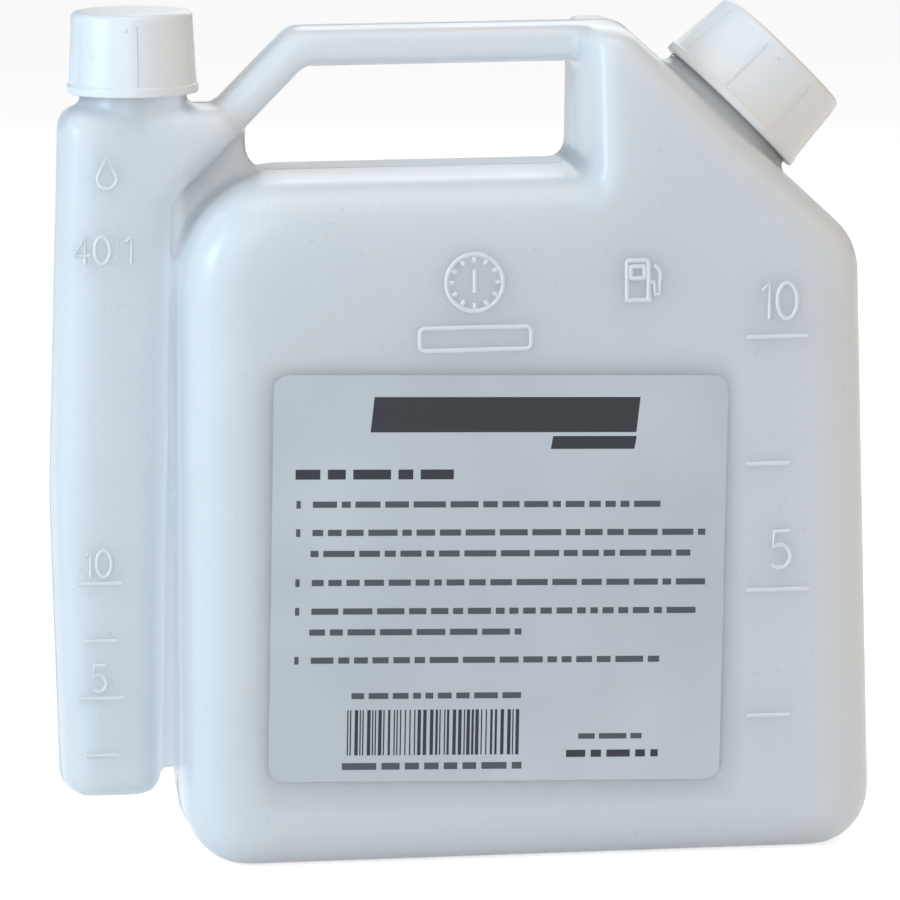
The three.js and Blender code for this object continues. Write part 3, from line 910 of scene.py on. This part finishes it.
@dataclass
class ScrewCap:
    """A moulded screw cap with a bead at its rim, fine ribs and a gate mark."""

    neck: Neck
    rim_radius: float
    top_radius: float
    height: float
    wall: float
    ribs: int
    bead_height: float = 2.2 * MM
    bead_step: float = 0.45 * MM
    bead_radius: float = 0.5 * MM
    mouth_lead: float = 0.3 * MM
    mouth_height: float = 0.4 * MM
    edge_radius: float = 1.6 * MM
    rib_radius: float = 0.45 * MM
    rib_sunk: float = 0.32 * MM
    rib_foot_gap: float = 0.4 * MM
    rib_head_gap: float = 2.6 * MM
    gate_angle: float = -100.0
    gate_radius: float = 0.55 * MM
    gate_flatness: float = 0.4
    gate_drop: float = 3.4 * MM
    gate_rise: float = 0.08 * MM
    segments: int = 128

    @property
    def side_radius(self) -> float:
        """The radius of the side where it rises out of the bead."""
        return self.rim_radius - self.bead_step

    def build(self) -> bpy.types.Object:
        """Turn the cup, add its ribs and gate mark, and put it on its neck.

        Returns:
            The cap, which replaces its solid.
        """
        cup = turned(f"{self.neck.name}_cap_cup", self.profile(), self.segments)
        smooth(cup, 30)
        details = [*self.rib_pieces(), self.gate_mark()]
        cap = joined(f"{self.neck.name}_cap_moulding", [cup, *details])
        settle(cap, self.neck.frame())
        ride(cap, f"{self.neck.name}_closure", MOULDED)
        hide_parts(f"{self.neck.name}_cap")
        return cap

    def profile(self) -> list[Point]:
        """The cup's rings, from its inside top round the rim to its outside top."""
        inside = self.side_radius - self.wall
        inside_top = self.top_radius - self.wall
        ceiling = self.height - self.wall
        bead, edge = self.bead_radius, self.edge_radius
        over_bead = 0.1 * MM
        rings = [(inside_top - 2 * bead, ceiling), (inside_top, ceiling - 2 * bead)]
        rings += [(inside, self.mouth_height), (inside + self.mouth_lead, 0.0)]
        rings += [(self.rim_radius - bead, 0.0)]
        rings += arc((self.rim_radius - bead, bead), bead, -60, 0, 3)
        rings += arc((self.rim_radius - bead, self.bead_height - bead), bead, 0, 75, 4)
        rings += [(self.side_radius, self.bead_height + over_bead)]
        rings += arc((self.top_radius - edge, self.height - edge), edge, 4, 88, 8)
        rings += [(self.top_radius - 2 * edge, self.height)]
        return rings

    def rib_pieces(self) -> list[bpy.types.Object]:
        """The fine upright ribs, each a thin bead down the leaning side."""
        foot, head = self.bead_height + self.rib_foot_gap, self.height - self.rib_head_gap
        upright = self.height - self.edge_radius - self.bead_height
        lean = (self.side_radius - self.top_radius) / upright
        pieces = []
        for index in range(self.ribs):
            angle = math.tau * (index + 0.5) / self.ribs
            path = []
            for height in (foot, head):
                radius = self.side_radius - lean * (height - self.bead_height) - self.rib_sunk
                path.append(Vector((radius * math.cos(angle), radius * math.sin(angle), height)))
            pieces.append(traced("rib", path, self.rib_radius))
        return pieces

    def gate_mark(self) -> bpy.types.Object:
        """The small round bump where the plastic went in, high on the side."""
        deselect()
        angle = math.radians(self.gate_angle)
        radius = self.top_radius + self.gate_rise
        bpy.ops.mesh.primitive_uv_sphere_add(segments=20, ring_count=12, radius=self.gate_radius)
        bump = named("gate_mark")
        bump.scale = (self.gate_flatness, 1, 1)
        bump.rotation_euler = (0, 0, angle)
        bump.location = (
            radius * math.cos(angle), radius * math.sin(angle), self.height - self.gate_drop
        )
        settle(bump)
        smooth(bump, 60)
        return bump


def screw_caps(screw_necks: dict[str, Neck]) -> tuple[ScrewCap, ScrewCap]:
    """The petrol cap and the oil cap, each on its neck."""
    petrol = ScrewCap(
        screw_necks["petrol"],
        rim_radius=20.0 * MM,
        top_radius=18.2 * MM,
        height=18.6 * MM,
        wall=1.6 * MM,
        ribs=8,
    )
    oil = ScrewCap(
        screw_necks["oil"],
        rim_radius=15.25 * MM,
        top_radius=14.1 * MM,
        height=18.9 * MM,
        wall=1.5 * MM,
        ribs=6,
    )
    return petrol, oil


@dataclass
class ReliefStrokes:
    """Raised strokes moulded on a flat face: numerals, level marks and pictograms."""

    name: str
    face: float
    stroke: float = 0.62 * MM
    sunk: float = 0.28 * MM
    beads: list[bpy.types.Object] = field(default_factory=list)

    def line(self, points: list[Point]) -> None:
        """Trace one stroke through points given as X and Z in millimetres."""
        path = [Vector((x * MM, self.face + self.sunk, z * MM)) for x, z in points]
        self.beads.append(traced("stroke", path, self.stroke))

    def box(self, low: Point, high: Point, corner: float) -> None:
        """Trace the outline of a rectangle with round corners."""
        left, right = low[0] + corner, high[0] - corner
        bottom, top = low[1] + corner, high[1] - corner
        path = []
        for centre, start in (
            ((right, bottom), -90), ((right, top), 0), ((left, top), 90), ((left, bottom), 180)
        ):
            path += arc(centre, corner, start, start + 90, 4)
        self.line(path + path[:1])

    def digit(self, symbol: str, x: float, z: float, height: float) -> float:
        """Trace one numeral.

        Args:
            symbol: A figure or a colon.
            x: Its left side, in millimetres.
            z: Its foot.
            height: Its height.

        Returns:
            Where the next numeral starts.
        """
        width = 0.56 * height

        def at(points: list[Point]) -> list[Point]:
            """Points in shares of the numeral's width and height, as places."""
            return [(x + u * width, z + v * height) for u, v in points]

        if symbol == "1":
            self.line(at([(0.1, 0.78), (0.45, 1.0), (0.45, 0.0)]))
            return x + 0.85 * width
        if symbol == "0":
            self.line(at([(0.5 + 0.5 * u, 0.5 + 0.5 * v) for u, v in self.ring(20)]))
        elif symbol == "4":
            self.line(at([(0.72, 0.0), (0.72, 1.0), (0.0, 0.32), (1.0, 0.32)]))
        elif symbol == "5":
            bowl = arc((0.0, 0.0), 1.0, 125, -140, 12)
            curve = [(0.44 + 0.52 * u, 0.32 + 0.32 * v) for u, v in bowl]
            self.line(at([(0.92, 1.0), (0.16, 1.0), (0.1, 0.55), *curve]))
        elif symbol == ":":
            for v in (0.2, 0.65):
                self.line(at([(0.18, v), (0.18, v + 0.05)]))
            return x + 0.6 * width
        return x + 1.35 * width

    @staticmethod
    def ring(count: int) -> list[Point]:
        """Points round a circle of radius 1 from its top, the first repeated at the end."""
        angles = (math.tau * step / count for step in range(count + 1))
        return [(math.sin(a), math.cos(a)) for a in angles]

    def figures(self, text: str, x: float, z: float, height: float) -> None:
        """Trace several numerals side by side."""
        for symbol in text:
            x = self.digit(symbol, x, z, height)

    def drop(self, x: float, z: float, height: float) -> None:
        """Trace a plain drop, a sign for oil."""
        radius = 0.3 * height
        round_part = arc((x, z + radius), radius, 150, 390, 14)
        self.line([(x, z + height), *round_part, (x, z + height)])

    def pump(self, x: float, z: float, height: float) -> None:
        """Trace a plain filling pump, a sign for petrol."""
        width = 0.55 * height

        def at(u: float, v: float) -> Point:
            """A share of the pump's width and height, as a place."""
            return x + u * width, z + v * height

        self.box(at(0, 0), at(1, 1), 0.08 * height)
        self.box(at(0.18, 0.55), at(0.82, 0.85), 0.04 * height)
        self.line([at(-0.12, 0), at(1.12, 0)])
        hose = ((1, 0.45), (1.25, 0.45), (1.3, 0.14), (1.5, 0.14), (1.55, 0.7), (1.3, 0.9))
        self.line([at(u, v) for u, v in hose])

    def dial(self, x: float, z: float, radius: float) -> None:
        """Trace a plain ring with ticks, as moulders use for a date."""
        tick = (0.72 * radius, 0.9 * radius)
        self.line([(x + radius * u, z + radius * v) for u, v in self.ring(36)])
        for u, v in self.ring(12)[:-1]:
            self.line([(x + reach * u, z + reach * v) for reach in tick])
        self.line([(x, z - 0.35 * radius), (x, z + 0.45 * radius)])

    def build(self) -> bpy.types.Object:
        """Join the strokes into one piece on the bottle."""
        relief = joined(self.name, self.beads)
        # The strokes are dressed lighter than the bottle's plastic, a painted highlight on their
        # ridges.
        ride(relief, "bottle", RAISED_PAINTED_HIGHLIGHT)
        return relief


@dataclass(frozen=True)
class LevelLines:
    """Level lines one under the other, long and short by turns, in millimetres."""

    middle: float
    top: float
    step: float
    long: float
    short: float
    left_aligned: bool = False

    def trace(self, strokes: ReliefStrokes) -> None:
        """Draw the four lines."""
        for index, width in enumerate((self.long, self.short) * 2):
            left = self.middle - (self.long if self.left_aligned else width) / 2
            height = self.top - self.step * index
            strokes.line([(left, height), (left + width, height)])


@dataclass
class Reliefs:
    """All that is moulded on the fronts of the tank and the oil chamber."""

    fronts: Fronts
    tank_lines: LevelLines = LevelLines(71.55, 122.3, 29.7, 14.7, 10.3, left_aligned=True)
    oil_lines: LevelLines = LevelLines(-85.1, 66.2, 13.55, 10.6, 7.8)
    oil_stroke: float = 0.56 * MM

    def build(self) -> list[bpy.types.Object]:
        """Trace the tank's marks and the oil chamber's."""
        return [self.tank(), self.oil()]

    def tank(self) -> bpy.types.Object:
        """Level marks 10 and 5, a pump sign, a moulder's dial and a bare frame."""
        strokes = ReliefStrokes("tank_relief", self.fronts.tank)
        self.tank_lines.trace(strokes)
        strokes.figures("10", 67.6, 126.4, 8.4)
        strokes.figures("5", 70.0, 68.0, 8.6)
        strokes.pump(36.5, 131.6, 9.2)
        strokes.dial(1.2, 136.6, 6.6)
        strokes.box((-11.6, 121.0), (14.2, 126.2), 1.2)
        return strokes.build()

    def oil(self) -> bpy.types.Object:
        """Level marks 10 and 5, the 40 to 1 figures and a drop sign."""
        strokes = ReliefStrokes("oil_relief", self.fronts.oil, stroke=self.oil_stroke)
        self.oil_lines.trace(strokes)
        strokes.figures("10", -88.6, 67.8, 6.2)
        strokes.figures("5", -87.2, 40.7, 6.2)
        strokes.figures("40:1", -89.6, 140.9, 6.3)
        strokes.drop(-81.7, 158.3, 7.4)
        return strokes.build()


@dataclass
class LabelPrint:
    """The print on the label as plain blocks, bars and stripes."""

    centre: Vector
    turn: float = math.radians(1.5)
    width: float = 105.6
    height: float = 95.2
    thickness: float = 0.03 * MM
    fine_text: float = 1.45
    word_lengths: tuple[float, float] = (1.2, 5.2)
    word_gap: float = 0.75
    seed: int = 7
    plates: list[bpy.types.Object] = field(default_factory=list)

    def plate(
        self, left: float, right: float, top: float, bottom: float, slant: float = 0.0
    ) -> None:
        """One printed block, measured in millimetres from the label's top left corner."""
        deselect()
        x = (left + right) / 2 - self.width / 2
        z = self.height / 2 - (top + bottom) / 2
        bpy.ops.mesh.primitive_plane_add(
            size=1, location=(x * MM, 0, z * MM), rotation=(math.pi / 2, 0, 0)
        )
        block = bpy.context.active_object
        block.scale = ((right - left) * MM, (bottom - top) * MM, 1)
        settle(block)
        if slant and pick_vertices(block, lambda place: place.z > z * MM):
            with editing_picked():
                bpy.ops.transform.translate(value=(slant * MM, 0, 0))
        self.plates.append(block)

    def words(
        self, left: float, right: float, middle: float, size: float, dice: random.Random
    ) -> None:
        """A line of text as short bars of different lengths, in shares of its size."""
        x = left
        while x < right - size:
            length = min(dice.uniform(*self.word_lengths) * size, right - x)
            self.plate(x, x + length, middle - size / 2, middle + size / 2)
            x += length + self.word_gap * size

    def stripes(
        self, left: float, right: float, top: float, bottom: float, dice: random.Random
    ) -> None:
        """A field of upright stripes of different widths, which encode nothing."""
        x = left
        while x < right:
            width = dice.choice((0.3, 0.3, 0.55, 0.8))
            self.plate(x, x + width, top, bottom)
            x += width + dice.choice((0.35, 0.5, 0.8))

    def gather(self, name: str, finish: Finish) -> bpy.types.Object:
        """Join the blocks so far, give them a thickness and lay them on the film."""
        piece = joined(name, self.plates)
        self.plates = []
        finished_by(piece, "SOLIDIFY", thickness=self.thickness, offset=0.0)
        settle(piece, Matrix.Translation(self.centre) @ Matrix.Rotation(self.turn, 4, "Y"))
        ride(piece, "bottle", finish)
        return piece

    def build(self) -> list[bpy.types.Object]:
        """Print the heavy blocks in black and the fine lines in grey."""
        dice = random.Random(self.seed)
        self.plate(22.5, 84.3, 5.1, 13.3, slant=0.8)
        self.plate(64.4, 83.9, 14.2, 17.2, slant=0.5)
        self.words(5.3, 44.7, 23.1, 2.3, dice)
        self.words(69.4, 91.0, 88.9, 1.7, dice)
        self.stripes(18.1, 59.0, 78.3, 89.0, dice)
        heavy = self.gather("label_print_heavy", INK)
        numbered = ((30.1, 91.9), (36.7, 101.0), (48.4, 101.2), (55.1, 100.3), (66.6, 91.9))
        for middle, right in numbered:
            self.plate(5.6, 6.6, middle - 0.9, middle + 0.9)
            self.words(9.4, right, middle, self.fine_text, dice)
        self.words(9.0, 97.6, 41.6, self.fine_text, dice)
        self.words(9.0, 58.4, 60.0, self.fine_text, dice)
        self.words(19.0, 58.6, 75.0, 1.4, dice)
        self.words(72.2, 87.1, 84.8, 1.3, dice)
        self.words(17.0, 59.0, 91.6, 1.6, dice)
        return [heavy, self.gather("label_print_fine", GREY_INK)]


@dataclass(frozen=True)
class Lamp:
    """One square area light: its place and size in metres, its power in watts."""

    name: str
    place: tuple[float, float, float]
    size: float
    power: float
    tint: Colour

    def hang(self, target: Vector) -> None:
        """Add the light and turn it to the bottle."""
        deselect()
        bpy.ops.object.light_add(type="AREA", location=self.place)
        lamp = named(self.name)
        lamp.data.size = self.size
        lamp.data.energy = self.power
        lamp.data.color = self.tint
        way = target - Vector(self.place)
        lamp.rotation_euler = way.to_track_quat("-Z", "Y").to_euler()


LAMPS = (
    Lamp("window_left", (-1.05, -0.5, 0.45), 0.5, 7.6, (0.56, 0.79, 1.0)),
    Lamp("window_front", (-0.45, -1.25, 0.4), 0.7, 3.0, (0.88, 0.94, 1.0)),
    Lamp("wall_right", (0.95, -0.35, 0.35), 0.8, 1.9, (1.0, 0.72, 0.46)),
    Lamp("ceiling", (0.05, -0.25, 1.2), 1.0, 4.6, (1.0, 0.99, 0.97)),
    Lamp("window_back", (0.35, 1.15, 0.75), 0.8, 3.4, (0.93, 0.97, 1.0)),
)


@dataclass
class Studio:
    """The pale floor, the soft lights and the camera."""

    target: Vector = field(default_factory=lambda: Vector((-1.2 * MM, 0.25 * MM, 93.1 * MM)))
    azimuth: float = -7.0
    elevation: float = 9.0
    roll: float = 0.5
    distance: float = 1.5
    span: float = 211.5 * MM
    floor_size: float = 6.0
    air_tint: Colour = (1.0, 0.995, 0.985)
    air_light: float = 0.31
    air_seen: float = 1.0

    def build(self) -> None:
        """Set the stage, the lamps, the world and the camera."""
        self.floor()
        for lamp in LAMPS:
            lamp.hang(self.target)
        self.world()
        self.camera()

    def floor(self) -> None:
        """A wide sheet of paper under the bottle."""
        deselect()
        bpy.ops.mesh.primitive_plane_add(size=self.floor_size)
        paper = named("paper_floor")
        paper.data.materials.append(PAPER.material())

    def world(self) -> None:
        """An even grey surround, white for what looks straight at it."""
        world = bpy.data.worlds.new("studio_air")
        bpy.context.scene.world = world
        world.use_nodes = True
        nodes, links = world.node_tree.nodes, world.node_tree.links
        sky = nodes["Background"]
        sky.inputs["Color"].default_value = (*self.air_tint, 1)
        rays = nodes.new("ShaderNodeLightPath")
        level = nodes.new("ShaderNodeMapRange")
        level.inputs["To Min"].default_value = self.air_light
        level.inputs["To Max"].default_value = self.air_seen
        links.new(rays.outputs["Is Camera Ray"], level.inputs["Value"])
        links.new(level.outputs["Result"], sky.inputs["Strength"])

    def camera(self) -> None:
        """The photograph's view: a little from the left and above, hardly rolled."""
        angles = (self.azimuth, self.elevation, self.roll)
        turn, lift, roll = (math.radians(angle) for angle in angles)
        level = Vector((math.sin(turn), -math.cos(turn), 0))
        back = level * math.cos(lift) + Vector((0, 0, math.sin(lift)))
        right = Vector((math.cos(turn), math.sin(turn), 0))
        up = back.cross(right)
        across = right * math.cos(roll) - up * math.sin(roll)
        over = up * math.cos(roll) + right * math.sin(roll)
        deselect()
        bpy.ops.object.camera_add()
        camera = named("photo_camera")
        turned_to = Matrix((across, over, back)).transposed().to_4x4()
        camera.matrix_world = Matrix.Translation(self.target + back * self.distance) @ turned_to
        camera.data.sensor_fit = "HORIZONTAL"
        camera.data.angle = 2 * math.atan(self.span / 2 / self.distance)
        bpy.context.scene.camera = camera


def dress_frame(frame: dict) -> None:
    """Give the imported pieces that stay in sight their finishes."""
    finishes = {
        "bottle_body": BLOWN,
        "front_label": FILM,
        "petrol_cap": MOULDED,
        "oil_cap": MOULDED,
        "petrol_cap_liner": FOAM,
        "oil_cap_liner": FOAM,
    }
    for name, finish in finishes.items():
        for socket in frame["nodes"][name].material_slots:
            socket.material = finish.material()


def main() -> None:
    """Build the dressed bottle piece by piece and log each one."""
    logging.basicConfig(level=logging.INFO, format="%(name)s: %(message)s")
    scene = bpy.context.scene
    scene.view_settings.view_transform = "Standard"
    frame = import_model()
    Studio().build()
    LOG.info("studio ready")
    dress_frame(frame)
    screw_necks = necks(frame)
    faces = fronts()
    skin = BottleSkin(screw_necks, faces).build(frame["nodes"]["bottle_body"])
    LOG.info("%s ready", skin.name)
    for neck in screw_necks.values():
        LOG.info("%s ready", NeckThread(neck).build().name)
    for cap in screw_caps(screw_necks):
        LOG.info("%s ready", cap.build().name)
    for relief in Reliefs(faces).build():
        LOG.info("%s ready", relief.name)
    label_low, label_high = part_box("front_label")
    middle = (Vector(label_low) + Vector(label_high)) / 2
    middle.y = label_low[1] - PRINT_RISE
    for piece in LabelPrint(middle).build():
        LOG.info("%s ready", piece.name)
    deselect()


if __name__ == "__main__":
    main()
